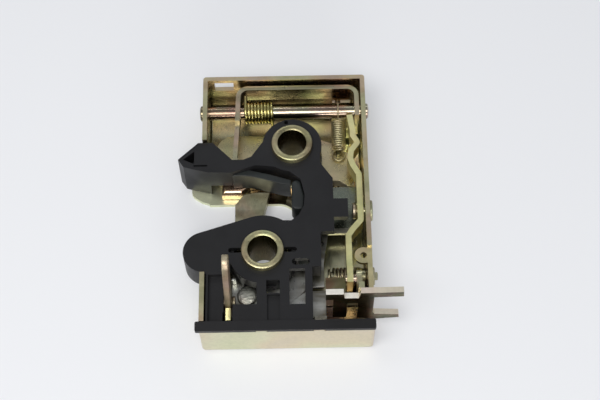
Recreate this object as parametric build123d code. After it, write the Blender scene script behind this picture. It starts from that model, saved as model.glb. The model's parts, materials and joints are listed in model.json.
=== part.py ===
from build123d import *
import math
import os

# Vehicle door latch with its actuating levers. Millimetres, +Z out of the open side of the case.
# The origin is on the axis of the lower fixing bush, at the outer face of the base plate.
# +X points at the lever side of the case, +Y at the far end with the cross shaft.

# Fixing bushes: steel tubes that take the two fixing bolts
bush_bore_d = 9.0
bush_d = 13.4
bush_height = 19.0
bush_spigot_d = 11.0
bush_chamfer = 0.4
upper_bush_x = 9.8
upper_bush_y = 38.0

# Pressed steel case, measured from the lower bush axis to its outer faces
sheet = 1.5
case_left = 19.6
case_right = 34.4
case_near = 26.8
case_far = 63.8
wall_height = 18.5
near_wall_step = 1.7
bend_radius = 2.2
corner_radius = 1.0
tab_width = 3.1
wall_step = 1.2
lug_y = -2.0
tab_places = (-2.0, 15.7)
post_x = (23.6, 29.6)
post_thickness = 1.1
post_top = 13.4

# Clearances
fit_gap = 0.05
layer_gap = 0.3
side_gap = 0.4

# Striker mouth
mouth_low_y = 11.6
mouth_high_y = 24.2
mouth_end_x = 11.3
tongue_x = -24.0
wall_gap_low_y = -7.2
wall_gap_high_y = 39.8

# Stacked layers above the base plate
fork_thickness = 4.0
back_plate_thickness = 1.5
slide_thickness = 1.2
carrier_top = 17.0
carrier_skin = 2.0
carrier_wall = 1.7
flange_thickness = 1.5
flange_depth = 2.9

# Fork
fork_reach = 26.5
fork_jaw_reach = 24.0
fork_hub_r = 11.5
fork_finger_left = -9.3
fork_leg_angle = 62

# Pawl
pawl_hub_r = 10.3
pawl_spring_pin_x = 25.4
pawl_spring_pin_y = 40.4
pawl_pin_d = 1.9
pawl_release = 1.5

# Cross shaft and release bail
shaft_d = 4.6
shaft_y = 53.4
shaft_z = 12.0
bail_thickness = 1.5
bail_left_x = -9.6
bail_web_gap = 1.1
bail_top = 16.4
bail_low = 10.0
bail_leg_end_y = 33.5

# Release link
link_thickness = 1.9
link_top = 15.0
link_height = 6.0
link_travel = 2.1
link_top_x = 29.1
link_guide_x = 31.45
link_low_x = 27.3
guide_rivet_d = 3.0
guide_rivet_y = 16.0

# Outside release lever
lever_thickness = 1.8
lever_pivot_y = -4.0
lever_pivot_z = 4.9
lever_pivot_d = 3.4
lever_plate_x = 29.2
lever_flange_y = -19.4
link_pin_d = 3.0
link_pin_y = -8.5
link_pin_z = 14.0
lever_drop = 1.6

# Lock lever and slide
lock_thickness = 1.9
lock_x = -11.7
lock_pivot_inset = 9.8
lock_pivot_z = 13.0
lock_pivot_d = 3.4
lock_tip_lean = 4.6
lock_tip_z = 35.6
lock_hole_d = 3.2
slide_travel = 2.0
slide_rivet_x = -5.1
slide_rivet_inset = 13.3
slide_rivet_d = 3.0
slide_rivet_head_r = 3.2

# Springs
bail_wire_d = 1.05
pawl_wire_d = 0.65
pawl_coil_pitch = 0.76
pawl_spring_d = 4.8
fork_wire_d = 1.2
lever_wire_d = 0.9

# Heights that follow from the layers
fork_low = sheet + layer_gap
fork_high = fork_low + fork_thickness
back_low = fork_high + layer_gap
fork_coil_r = bush_d / 2 + fork_wire_d / 2 + 0.7
fork_leg_r = fork_coil_r + 1.4
back_high = back_low + back_plate_thickness
slide_low = back_high + layer_gap
slide_high = slide_low + slide_thickness
upper_bush = (upper_bush_x, upper_bush_y)
left_inside = -case_left + sheet
right_inside = case_right - sheet
near_inside = -case_near + sheet
far_inside = case_far - sheet
guide_z = link_top - link_height / 2
near_wall_height = wall_height - near_wall_step
lock_pivot_y = near_inside + lock_pivot_inset
lock_tip_y = lock_pivot_y + lock_tip_lean
slide_rivet_y = near_inside + slide_rivet_inset
post_y = shaft_y + shaft_d / 2 + layer_gap
bail_web_y = far_inside - bail_web_gap


def block(x0, x1, y0, y1, z0, z1):
    size = (x1 - x0, y1 - y0, z1 - z0)
    return Pos((x0 + x1) / 2, (y0 + y1) / 2, (z0 + z1) / 2) * Box(*size)


def disc(radius, z0, z1, at=(0, 0)):
    return Pos(at[0], at[1], (z0 + z1) / 2) * Cylinder(radius, z1 - z0)


def cross_rod(radius, x0, x1, y, z):
    return Pos((x0 + x1) / 2, y, z) * Rot(0, 90, 0) * Cylinder(radius, x1 - x0)


def outline(*points):
    following = points[1:] + points[:1]
    turn = sum(a[0] * b[1] - b[0] * a[1] for a, b in zip(points, following))
    return Polygon(*(points if turn > 0 else points[::-1]), align=None)


def flat_plate(sketch, z0, z1):
    return extrude(Pos(0, 0, z0) * sketch, z1 - z0)


def side_plate(sketch, x0, x1):
    return extrude(Plane.YZ.offset(x0) * sketch, x1 - x0)


def front_plate(sketch, y0, y1):
    return extrude(Plane.XZ.offset(-y1) * sketch, y1 - y0)


def ring(r_out, r_in):
    return Circle(r_out) - Circle(r_in)


def housing():
    outer = block(-case_left, case_right, -case_near, case_far, 0, wall_height)
    outer = fillet(outer.edges().group_by(Axis.Z)[0], bend_radius)
    outer = fillet(outer.edges().filter_by(Axis.Z), corner_radius)
    inner = block(left_inside, right_inside, near_inside, far_inside, sheet, wall_height + 1)
    inner = fillet(inner.edges().group_by(Axis.Z)[0], bend_radius - sheet)
    case = outer - inner
    rim_y = -case_near + flange_depth + side_gap
    case -= block(-case_left - 1, case_right + 1, -case_near - 1, rim_y, near_wall_height, wall_height + 1)
    case -= block(-case_left - 1, left_inside + 0.01, wall_gap_low_y, wall_gap_high_y, -1, wall_height + 1)
    case -= block(-case_left - 1, left_inside + bend_radius, wall_gap_low_y, wall_gap_high_y, sheet, wall_height + 1)
    # Flat lip of the base plate beside the mouth
    tongue = outline((left_inside + 1, mouth_high_y), (left_inside + 1.5, mouth_high_y), (tongue_x + 3.4, mouth_high_y + 1.3),
                     (tongue_x, mouth_high_y + 3.6), (tongue_x, wall_gap_high_y), (left_inside + 1, wall_gap_high_y))
    tongue = fillet(tongue.vertices().group_by(Axis.X)[0], 2.2)
    case += flat_plate(tongue, 0, sheet)
    case += block(-case_left, left_inside, wall_gap_low_y, mouth_low_y, 0, sheet)
    mouth_width = mouth_high_y - mouth_low_y
    mouth_mid_y = (mouth_high_y + mouth_low_y) / 2
    mouth = block(tongue_x - 5, mouth_end_x - mouth_width / 2, mouth_low_y, mouth_high_y, -1, sheet + 1)
    mouth += disc(mouth_width / 2, -1, sheet + 1, (mouth_end_x - mouth_width / 2, mouth_mid_y))
    case -= mouth
    # Holes for the bush spigots, the cross shaft, the pivot and the link guide
    for centre in ((0, 0), upper_bush):
        case -= disc(bush_spigot_d / 2 + fit_gap, -1, sheet + 1, centre)
    for x0, x1 in ((-case_left - 1, left_inside + 1), (right_inside - 1, case_right + 1)):
        case -= cross_rod(shaft_d / 2 + fit_gap, x0, x1, shaft_y, shaft_z)
    case -= cross_rod(lever_pivot_d / 2 + fit_gap, right_inside - 1, case_right + 1, lever_pivot_y, lever_pivot_z)
    case -= cross_rod(guide_rivet_d / 2 + fit_gap, right_inside - 1, case_right + 1, guide_rivet_y, guide_z)
    # Window in the far wall and the notch that the outside lever swings in
    case -= block(-16.0, -9.6, far_inside - 1, case_far + 1, wall_height - 6.3, wall_height - 1.5)
    notch = outline((lever_flange_y - 4.6, 3.2), (lever_flange_y + 3.0, 3.2), (lever_flange_y + 6.0, 7.0),
                    (lever_flange_y + 6.0, wall_height + 1), (lever_flange_y - 4.6, wall_height + 1))
    case -= side_plate(notch, right_inside - 0.5, case_right + 1)
    # Crimp tabs on the near wall that hold the carrier flange
    for x0 in tab_places:
        tab = block(x0, x0 + tab_width, -case_near, near_inside, near_wall_height - 1, near_wall_height + 0.6)
        case += tab
    # Upright tab behind the cross shaft that the pawl spring hooks on, and the eyelet lug
    post = block(*post_x, post_y, post_y + post_thickness, sheet - 0.2, post_top)
    post -= Pos(pawl_spring_pin_x, post_y + post_thickness / 2, post_top) * Rot(90, 0, 0) * Cylinder(0.9, 4)
    case += post
    lug_top = wall_height - wall_step
    case -= block(right_inside - 0.5, case_right + 1, lever_flange_y, lug_y + 2.9, lug_top, wall_height + 1)
    lug = disc(2.7, lug_top - 1.3, lug_top, (right_inside - 1.3, lug_y))
    lug += block(right_inside - 1.3, right_inside + 0.3, lug_y - 2.6, lug_y + 2.6, lug_top - 1.3, lug_top)
    lug -= disc(1.0, lug_top - 3, lug_top + 1, (right_inside - 1.2, lug_y))
    return case + lug


def bush(centre):
    shape = disc(bush_d / 2, sheet, bush_height, centre) + disc(bush_spigot_d / 2, 0, sheet + 0.5, centre)
    shape -= disc(bush_bore_d / 2, -1, bush_height + 1, centre)
    rims = [e for e in shape.edges().filter_by(GeomType.CIRCLE) if e.center().Z > bush_height - 0.01]
    return chamfer(rims, bush_chamfer)


def carrier_parts():
    boss = Pos(*upper_bush) * Circle(9.7)
    spine = outline((5.6, 10.8), (9.2, 10.7), (11.6, 12.6), (13.3, 16.0), (13.6, 20.0), (12.4, 25.4), (7.4, 29.5), (2.0, 30.4),
                    (0.6, 41.0), (19.0, 41.0), (18.9, 31.3), (22.8, 25.6), (22.8, 18.2), (27.4, 18.2), (27.4, 11.6),
                    (22.8, 11.6), (22.8, 6.6), (18.4, 6.6), (18.4, -4.0), (9.0, -4.0), (1.5, 6.0), (1.5, 12.2))
    arm = outline((4.0, 30.2), (-2.3, 30.8), (-9.8, 28.3), (-17.3, 28.4), (-22.5, 29.6), (-25.7, 30.6),
                  (-27.5, 33.3), (-21.0, 39.4), (-16.2, 39.4), (-9.8, 32.9), (-6.2, 32.9), (-3.6, 34.0), (0.6, 40.0))
    lobe = make_hull(Circle(12.6).edges() + (Pos(-18.2, 0.2) * Circle(6.9)).edges())
    panel = outline((left_inside + side_gap, -3.0), (left_inside + side_gap, -case_near + flange_depth),
                    (15.5, -case_near + flange_depth), (15.5, -5.4), (18.4, -5.4), (18.4, 0.0))
    return boss, spine, arm, lobe, panel


def carrier():
    boss, spine, arm, lobe, panel = carrier_parts()
    body = flat_plate(boss + spine + arm + lobe + panel, back_high, carrier_top)
    for piece in (spine, lobe, panel):
        body -= flat_plate(offset(piece, -carrier_wall), back_high - 1, carrier_top - carrier_skin)
    # Columns round the two bushes and ribs between them
    column = flat_plate(Pos(*upper_bush) * Circle(9.7), back_high, carrier_top)
    column += disc(10.6, back_high, carrier_top)
    for x, y, length, turn in ((18, 16, 20, 90), (3, 31.5, 14, -6), (-13, 2, 14, 0), (17.4, 20, 7, 0)):
        column += Pos(x, y, (back_high + carrier_top) / 2) * Rot(0, 0, turn) * Box(length, 1.4, carrier_top - back_high)
    body += column
    # Lip beside the mouth: its walls run down to the base plate outside the case
    lip = outline((-17.2, 28.4), (-22.5, 29.6), (-25.7, 30.6), (-27.5, 33.3), (-21.0, 39.4), (-17.2, 39.4))
    body += flat_plate(lip - offset(lip, -carrier_wall), sheet, back_high)
    lobe_skirt = (Pos(-18.2, 0.2) * ring(6.9, 6.9 - carrier_wall))
    lobe_skirt -= Pos(-9.6, 0) * Rectangle(14, 30)
    body += flat_plate(lobe_skirt, back_high - 1.1, back_high)
    # Flange that lies on the near wall, notched for the crimp tabs
    flange = block(-case_left - 1.2, case_right + 0.2, -case_near, -case_near + flange_depth + 0.3,
                   near_wall_height, near_wall_height + flange_thickness)
    flange = fillet(flange.edges().filter_by(Axis.Z), 0.5)
    for x0 in tab_places:
        flange -= block(x0 - 0.3, x0 + tab_width + 0.3, -case_near - 1, near_inside + 0.1, 10, near_wall_height + 0.9)
    body += flange
    body += block(left_inside + side_gap, 15.5, near_inside + side_gap, -case_near + flange_depth + 0.3,
                  back_high + 2.4, near_wall_height + 0.2)
    # Bores for the bushes, the room for the fork spring and for the lock slide
    for centre in ((0, 0), upper_bush):
        body -= disc(bush_d / 2 + fit_gap, 0, carrier_top + 1, centre)
    body -= disc(fork_coil_r + 1.2, slide_high + 0.4, slide_high + 5.6)
    arc_room = ring(fork_leg_r + 2.0, fork_leg_r - 1.0)
    arc_room &= outline((0, 0), (24, -5.5), (24, 30), (5, 30))
    body -= flat_plate(arc_room, back_high - 1, 12.0)
    body -= block(left_inside + side_gap + 1.7, 21.0, near_inside + 0.9, -4.6, back_high - 1, slide_high + 0.4)
    # Openings in the top
    lever_room = block(-12.5, -9.3, near_inside + 1.9, -6.5, 0, carrier_top + 1)
    lever_room += block(-17.0, -12.5, near_inside + 2.3, -7.6, 15.2, carrier_top + 1)
    body -= lever_room
    window = block(-10.2, -1.9, near_inside + 7.6, -4.0, 0, carrier_top + 1) - disc(10.7, 0, carrier_top + 1)
    window += block(8.3, 13.2, near_inside + 7.4, -6.0, 0, carrier_top + 1)
    window += disc(slide_rivet_head_r + layer_gap, back_high - 1, slide_high + 3, (slide_rivet_x, slide_rivet_y))
    body -= window
    body -= block(1.1, 5.3, near_inside + 11.2, near_inside + 15.6, carrier_top - 5, carrier_top + 1)
    body -= block(1.3, 5.3, near_inside + 2.3, near_inside + 10.7, carrier_top - 1.2, carrier_top + 1)
    # The edge beside the link is thin, so the plates below it show
    body -= block(22.7, 27.6, 11.4, 18.4, back_high - 1, carrier_top - carrier_skin - 0.3)
    body -= block(18.6, 23.0, 6.4, 13.0, back_high - 1, carrier_top - carrier_skin - 0.3)
    slot = Pos(12.0, -3.6) * SlotOverall(5.6, 2.2)
    slot += Pos(-8.6, 0.6) * SlotOverall(4.4, 1.7) + Pos(8.7, 0.6) * SlotOverall(4.2, 1.7)
    body -= flat_plate(slot, carrier_top - 2.6, carrier_top + 1)
    body -= disc(0.7, carrier_top - 4, carrier_top + 1, (8.0, 46.6))
    pocket = outline((-25.9, 33.3), (-22.2, 36.3), (-22.2, 31.6))
    body -= flat_plate(pocket, carrier_top - 6, carrier_top + 1)
    body -= block(-22.4, -17.9, 30.6, 31.2, carrier_top - 1.0, carrier_top + 1)
    # Block that carries the pin of the lock lever
    block_z = lock_pivot_z + 2.2
    body += block(-17.4, lock_x - 0.5, lock_pivot_y - 4, lock_pivot_y + 4, slide_high + 0.4, block_z)
    body -= cross_rod(lock_pivot_d / 2 + fit_gap, -17.0, lock_x, lock_pivot_y, lock_pivot_z)
    return body


def back_plate():
    shape = Circle(11.4) + Pos(*upper_bush) * Circle(10.0)
    shape += outline((9.6, 8.0), (13.5, 14.5), (13.9, 22.0), (11.0, 28.0), (3.0, 31.2), (9.8, 38.0), (19.2, 35.0),
                     (20.0, 27.0), (30.6, 27.0), (30.2, 10.2), (21.0, 10.2), (19.4, 0.0), (8.0, -4.0))
    low = near_inside + 8.5
    shape += outline((-10.2, -1.5), (-10.2, low), (6.6, low), (14.2, low + 8.2), (19.4, low + 8.2), (19.4, 2.0), (0.0, 2.0))
    shape -= Circle(bush_d / 2 + fit_gap)
    shape -= Pos(*upper_bush) * Circle(bush_d / 2 + fit_gap)
    slot = ring(fork_leg_r + 0.9, fork_leg_r - 0.9)
    slot &= outline((0, 0), (14, -3.2), (14, 14), (3.8, 14))
    shape -= slot
    shape -= Pos(slide_rivet_x, slide_rivet_y) * Circle(slide_rivet_d / 2 + fit_gap)
    return flat_plate(shape, back_low, back_high)


def mouth_liner():
    face = Spline((-9.7, 28.0), (-5.6, 28.0), (2.0, 26.2), (9.2, 24.4))
    back = Polyline((9.2, 24.4), (9.2, 26.2), (2.4, 28.4), (-5.6, 30.4), (-9.7, 29.4), (-9.7, 28.0))
    shape = flat_plate(make_face(face.edges() + back.edges()), back_low + 0.1, carrier_top - 2.0)
    return shape - flat_plate(carrier_parts()[2], back_high - layer_gap, carrier_top)


def striker_buffer():
    shape = outline((9.4, 15.4), (12.75, 15.4), (13.25, 16.6), (13.5, 20.0), (12.3, 25.3), (9.4, 27.3))
    shape = fillet(shape.vertices().group_by(Axis.X)[0], 1.6)
    return flat_plate(shape, back_high, carrier_top - 1.4)


def fork():
    shape = Circle(fork_hub_r)
    finger = outline((fork_finger_left, 3.0), (fork_finger_left, 21.9), (-5.6, 27.0), (2.4, 27.5), (-0.1, 17.8),
                     (3.0, 9.0))
    shape += finger & Circle(fork_reach)
    jaw = outline((-9.0, 11.0), (-21.8, 6.4), (-25.0, 4.6), (-25.0, -2.4), (-6.0, -9.6), (0.0, 0.0))
    shape += jaw & Circle(fork_jaw_reach)
    # Catch step on the jaw that the pawl drops behind when the latch is shut
    shape -= outline((-20.6, 2.4), (-26.0, 3.0), (-26.0, -8.0), (-18.4, -8.0), (-20.8, -1.0))
    shape -= Circle(bush_d / 2 + fit_gap)
    shape -= Rot(0, 0, fork_leg_angle) * Pos(fork_leg_r, 0) * Circle(fork_wire_d / 2 + 0.1)
    return flat_plate(shape, fork_low, fork_high)


def coil(radius, wire_d, pitch, turns, start, tail_in, tail_out):
    """Open coil along +Z from z = 0 with a straight tail at each end, start in degrees round the axis"""
    helix = Helix(pitch, pitch * turns, radius)
    wire = sweep(Plane(origin=helix @ 0, z_dir=helix % 0) * Circle(wire_d / 2), path=helix)
    for place, way, length in ((helix @ 0, -(helix % 0), tail_in), (helix @ 1, helix % 1, tail_out)):
        way = Vector(way.X, way.Y, 0).normalized()
        if length > 0:
            end = Plane(origin=place - way * wire_d * 0.6, z_dir=way)
            wire = wire.fuse(end * extrude(Circle(wire_d * 0.48), length + wire_d * 0.6))
    return Rot(0, 0, start) * wire


def fork_spring():
    low = slide_high + 0.4 + fork_wire_d / 2 + 0.2
    turns = 2.25
    shape = Rot(0, 0, fork_leg_angle) * coil(fork_coil_r, fork_wire_d, 1.5, turns, 0, 0, 1.2)
    shape = Pos(0, 0, low) * shape
    leg = Pos(fork_leg_r, 0, (fork_low + 1.0 + low) / 2) * Cylinder(fork_wire_d / 2, low - fork_low - 1.0)
    link = Pos((fork_leg_r + fork_coil_r) / 2, 0, low) * Rot(0, 90, 0)
    link *= Cylinder(fork_wire_d / 2, fork_leg_r - fork_coil_r)
    return shape + Rot(0, 0, fork_leg_angle) * (leg + link + Pos(fork_leg_r, 0, low) * Sphere(fork_wire_d / 2))


def pawl():
    wing = outline((9.8, 48.0), (-15.8, 48.0), (-15.8, 31.6), (-13.7, 29.6), (-13.7, 26.1), (-6.9, 26.1),
                   (-4.4, 29.4), (2.5, 30.4), (9.8, 29.0))
    corner = [v for v in wing.vertices() if v.X < -15 and v.Y > 47]
    wing = fillet(corner, 6.0)
    arm = outline((9.8, 47.4), (19.0, 46.2), (24.4, 44.0), (26.8, 42.8), (26.9, 41.2), (28.6, 41.0), (29.6, 38.0),
                  (29.2, 34.4), (30.4, 33.2),
                  (30.2, 29.6), (28.4, 28.2), (25.2, 30.4), (22.0, 30.6), (17.0, 31.0), (12.0, 29.4))
    shape = Pos(*upper_bush) * Circle(pawl_hub_r) + wing + arm
    shape -= Pos(*upper_bush) * Circle(bush_d / 2 + fit_gap)
    shape -= Pos(pawl_spring_pin_x, pawl_spring_pin_y) * Circle(pawl_pin_d / 2 + fit_gap)
    return flat_plate(shape, fork_low, fork_high)


def pawl_spring_pin():
    at = (pawl_spring_pin_x, pawl_spring_pin_y)
    pin = disc(pawl_pin_d / 2, fork_low + 0.2, fork_high + 1.6, at)
    return chamfer(pin.edges().group_by(Axis.Z)[-1], 0.25)


def pawl_spring():
    radius = (pawl_spring_d - pawl_wire_d) / 2
    ring_z = fork_high + 0.8
    axis_z = ring_z + radius + 1.6
    ring_y = pawl_spring_pin_y - pawl_release / 2
    first_y = ring_y + 0.4
    last_y = shaft_y - shaft_d / 2 - 0.8
    count = int((last_y - first_y) / pawl_coil_pitch) + 1
    pitch = (last_y - first_y) / (count - 1)
    turn = Rot(90, 0, 0) * Torus(radius, pawl_wire_d / 2)
    core = Pos(0, (first_y + last_y) / 2, 0) * Rot(90, 0, 0) * extrude(ring(radius + 0.1, radius - 0.2),
                                                                     (last_y - first_y) / 2, both=True)
    shape = core + [Pos(0, first_y + i * pitch, 0) * turn for i in range(count)]
    shape = Pos(pawl_spring_pin_x, 0, axis_z) * shape
    shape += Pos(pawl_spring_pin_x, ring_y, ring_z) * Torus(radius, pawl_wire_d / 2)
    riser = Cylinder(pawl_wire_d * 0.47, axis_z - radius - ring_z)
    shape += Pos(pawl_spring_pin_x, ring_y + radius, (axis_z - radius + ring_z) / 2) * riser
    over = shaft_z + shaft_d / 2 + pawl_wire_d / 2 + 0.15
    end_y = post_y + post_thickness + pawl_wire_d / 2 + 0.05
    path = Polyline((0, last_y, axis_z + radius), (0, last_y + 1.0, over), (0, post_y - 0.9, over),
                    (0, post_y + 0.4, post_top - 0.35), (0, end_y, post_top - 0.5), (0, end_y, post_top - 1.6))
    points = [path @ 0] + [e @ 1 for e in path.edges()]
    rods = [Pos(*points[0]) * Sphere(pawl_wire_d / 2 + 0.03)]
    for a, b in zip(points, points[1:]):
        rods.append(Plane(origin=a, z_dir=b - a) * extrude(Circle(pawl_wire_d / 2), (b - a).length))
        rods.append(Pos(*b) * Sphere(pawl_wire_d / 2))
    return shape + Pos(pawl_spring_pin_x, 0, 0) * (rods[0] + rods[1:])


def cross_shaft():
    shape = cross_rod(shaft_d / 2, -case_left, case_right, shaft_y, shaft_z)
    shape += cross_rod(shaft_d / 2 + 0.3, -case_left - 1.3, -case_left, shaft_y, shaft_z)
    return shape + cross_rod(shaft_d / 2 + 0.3, case_right, case_right + 1.2, shaft_y, shaft_z)


def release_bail():
    right_x = right_inside - 0.5
    web_in = bail_web_y - bail_thickness
    outer = outline((bail_left_x + 0.6, 48.0), (bail_left_x + 1.0, bail_web_y), (right_x, bail_web_y), (right_x, 48.0))
    outer = fillet(outer.vertices().group_by(Axis.Y)[-1], 4.0)
    inner = outline((bail_left_x + 0.6 + bail_thickness, 47.0), (bail_left_x + 1.0 + bail_thickness, web_in),
                    (right_x - bail_thickness, web_in), (right_x - bail_thickness, 47.0))
    inner = fillet(inner.vertices().group_by(Axis.Y)[-1], 2.5)
    shape = flat_plate(outer - inner, bail_low, bail_top)
    left = outline((bail_left_x + 0.6, 48.1), (bail_left_x - 0.3, bail_leg_end_y),
                   (bail_left_x - 0.3 + bail_thickness, bail_leg_end_y), (bail_left_x + 0.6 + bail_thickness, 48.1))
    shape += flat_plate(left, bail_low, bail_top - 1.8)
    shape -= block(right_x - 3, right_x + 1, 47.0, 49.4, 0, 20)
    # Eyes that turn on the cross shaft, and the foot that pushes the link
    for x0 in (bail_left_x + 0.75, right_x - bail_thickness):
        shape += cross_rod(shaft_d / 2 + 1.7, x0, x0 + bail_thickness, shaft_y, shaft_z)
    shape += block(right_x - bail_thickness, right_x, 49.4, 52.9, 3.4, bail_low + 1)
    shape += block(link_top_x - 0.9, right_x, 51.4, 52.9, 3.4, 7.0)
    shape -= cross_rod(shaft_d / 2 + fit_gap, bail_left_x - 2, bail_left_x + 4, shaft_y, shaft_z)
    shape -= cross_rod(shaft_d / 2 + fit_gap, right_x - 4, right_x + 2, shaft_y, shaft_z)
    return shape - cross_rod(1.3, bail_left_x - 3, bail_left_x + 4, bail_leg_end_y + 2.4, 12.2)


def bail_spring():
    turns = 8.25
    pitch = bail_wire_d + 0.04
    shape = coil(3.4, bail_wire_d, pitch, turns, 180, 4.4, shaft_z - sheet - layer_gap)
    return Pos(-5.6, shaft_y, shaft_z) * Rot(0, 90, 0) * shape


def release_link():
    low = link_top - link_height
    path = FilletPolyline((link_top_x, 50.4), (30.0, 44.2), (29.9, 42.6), (link_guide_x, 39.8), (29.2, 36.8),
                          (28.8, 34.0), (29.7, 31.2), (link_guide_x, 28.0), (link_guide_x, 11.4), (28.7, 8.2),
                          (link_low_x, 6.0), (link_low_x, -10.8), radius=1.1)
    strip = trace(path, link_thickness)
    shape = flat_plate(strip, low, link_top)
    half = link_thickness / 2
    shape += block(link_low_x - half, link_low_x + half, -10.8, -5.4, low, link_pin_z + 3.0)
    # Heel under the bail foot and finger that pushes the pawl
    shape += block(link_top_x - half, link_top_x + half, 47.6, 50.4, 4.0, low + 1)
    shape += block(29.1, 30.5, 41.8, 43.4, 2.4, low + 1)
    shape += block(28.2, 30.5, 41.8, 43.1, 2.4, 6.6)
    # Slot that slides on the guide rivet, slot for the lever pin
    slot_r = guide_rivet_d / 2 + fit_gap
    slot = Pos(guide_rivet_y + link_travel / 2, guide_z) * SlotOverall(link_travel + 0.5 + 2 * slot_r, 2 * slot_r)
    shape -= side_plate(slot, link_guide_x - 2, link_guide_x + 2)
    pin_r = link_pin_d / 2 + 0.3
    slot = Pos(link_pin_y, link_pin_z - lever_drop / 2) * SlotOverall(lever_drop + 2 * pin_r, 2 * pin_r, rotation=90)
    return shape - side_plate(slot, link_low_x - 2, link_low_x + 2)


def link_guide_rivet():
    shape = cross_rod(guide_rivet_d / 2, link_guide_x - link_thickness / 2 - 0.4, case_right, guide_rivet_y, guide_z)
    shape += cross_rod(3.4, case_right, case_right + 1.0, guide_rivet_y, guide_z)
    inner = link_guide_x - link_thickness / 2 - 0.4
    return shape + cross_rod(2.7, inner - 1.1, inner, guide_rivet_y, guide_z)


def outside_lever():
    x0, x1 = lever_plate_x, lever_plate_x + lever_thickness
    back_y = lever_flange_y + lever_thickness
    pivot = Pos(lever_pivot_y, lever_pivot_z) * Circle(3.0)
    eye = Pos(link_pin_y, link_pin_z) * Circle(3.2)
    plate = make_hull(pivot.edges() + eye.edges())
    plate += outline((-4.6, 2.1), (-9.0, 4.0), (back_y, 8.6), (back_y, 28.4), (-15.6, 28.4), (-13.0, 19.5),
                     (-8.5, 17.0), (-6.0, 10.0))
    shape = side_plate(plate, x0, x1)
    face = outline((21.6, 8.9), (25.9, 8.9), (25.9, 20.6), (x0, 20.6), (x0, 8.6), (34.0, 7.0), (42.4, 8.2),
                   (42.1, 10.6), (34.6, 11.4), (34.0, 13.0), (34.0, 24.9), (42.9, 25.3), (42.7, 28.7), (29.8, 28.4),
                   (29.3, 24.5), (25.0, 24.5), (24.7, 27.7), (19.3, 27.7), (19.3, 23.4), (21.6, 23.4))
    shape += front_plate(face, lever_flange_y, back_y)
    shelf = block(19.6, x0 + 0.1, back_y - 0.1, -8.3, 13.0, 14.5)
    shelf -= block(link_low_x - link_thickness / 2 - 0.5, x0 - 0.001, -13.4, -8.0, 12, 16)
    shape += shelf
    shape -= cross_rod(lever_pivot_d / 2 + fit_gap, x0 - 1, x1 + 1, lever_pivot_y, lever_pivot_z)
    return shape - cross_rod(link_pin_d / 2 + fit_gap, x0 - 1, x1 + 1, link_pin_y, link_pin_z)


def link_pin():
    x0 = link_low_x - link_thickness / 2 - 0.4
    shape = cross_rod(link_pin_d / 2, x0, lever_plate_x + lever_thickness, link_pin_y, link_pin_z)
    return shape + cross_rod(link_pin_d / 2 + 0.3, lever_plate_x - 0.5, lever_plate_x, link_pin_y, link_pin_z)


def outside_lever_pivot():
    y, z = lever_pivot_y, lever_pivot_z
    shape = cross_rod(lever_pivot_d / 2, 20.8, case_right, y, z)
    for radius, x0, x1 in ((2.9, case_right, case_right + 1.2), (1.3, case_right + 1.2, case_right + 2.2),
                           (2.6, lever_plate_x + lever_thickness + layer_gap, right_inside),
                           (2.5, lever_plate_x - 0.8, lever_plate_x - layer_gap), (2.5, 20.6, 21.4)):
        shape += cross_rod(radius, x0, x1, y, z)
    return shape


def outside_lever_spring():
    turns = 5.25
    pitch = 1.15
    shape = coil(2.55, lever_wire_d, pitch, turns, 270, 6.8, 5.5)
    return Pos(21.4 + lever_wire_d / 2 + 0.1, lever_pivot_y, lever_pivot_z) * Rot(0, 90, 0) * shape


def lock_lever():
    hub = Pos(lock_pivot_y, lock_pivot_z) * Circle(3.5)
    tip = Pos(lock_tip_y, lock_tip_z - 2.4) * Circle(2.6)
    shape = hub + outline((lock_pivot_y - 3.2, lock_pivot_z + 1.0), (lock_pivot_y + 3.3, lock_pivot_z + 1.0),
                          (lock_tip_y + 2.4, lock_tip_z - 3.0), (lock_tip_y - 2.4, lock_tip_z - 2.0)) + tip
    shape += outline((lock_pivot_y, 15.4), (near_inside + 3.0, 15.4), (near_inside + 2.6, 12.0), (lock_pivot_y, 11.0))
    foot_z = slide_low + 0.9
    shape += Pos(lock_pivot_y, foot_z) * Circle(0.8)
    shape += outline((lock_pivot_y - 0.8, foot_z), (lock_pivot_y + 0.8, foot_z), (lock_pivot_y + 0.8, 11.0),
                     (lock_pivot_y - 0.8, 11.0))
    shape -= Pos(lock_pivot_y, lock_pivot_z) * Circle(lock_pivot_d / 2 + fit_gap)
    shape -= Pos(lock_tip_y, lock_tip_z - 2.6) * Circle(lock_hole_d / 2)
    return side_plate(shape, lock_x, lock_x + lock_thickness)


def lock_lever_pivot():
    x1 = lock_x + lock_thickness + layer_gap
    shape = cross_rod(lock_pivot_d / 2, -17.0, x1, lock_pivot_y, lock_pivot_z)
    return shape + cross_rod(2.0, x1, x1 + 0.9, lock_pivot_y, lock_pivot_z)


def lock_slide():
    shape = outline((-12.9, 12.3), (-12.9, 7.1), (-8.6, 6.1), (15.8, 6.1), (15.8, 2.7), (19.8, 2.7), (19.8, 14.9),
                    (13.6, 14.9), (7.6, 10.4), (-2.0, 10.4), (-2.0, 17.4), (-9.9, 17.4), (-9.9, 12.3))
    shape += Pos(-9.2, 17.7) * Rectangle(1.4, 1.4)
    shape = Pos(0, near_inside) * shape
    shape -= Pos((2 * lock_x + lock_thickness) / 2, lock_pivot_y) * Rectangle(lock_thickness + 0.8, 2.2)
    slot_r = slide_rivet_d / 2 + 0.15
    shape -= Pos(slide_rivet_x, slide_rivet_y + slide_travel / 2) * SlotOverall(
        slide_travel + 0.4 + 2 * slot_r, 2 * slot_r, rotation=90)
    plate = flat_plate(shape, slide_low, slide_high)
    # Upturned ends
    plate += block(15.8, 19.8, near_inside + 2.7, near_inside + 3.9, slide_low, carrier_top - 1.5)
    return plate + block(-9.9, -8.5, near_inside + 17.4, near_inside + 18.4, slide_low, slide_high + 3.5)


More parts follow.
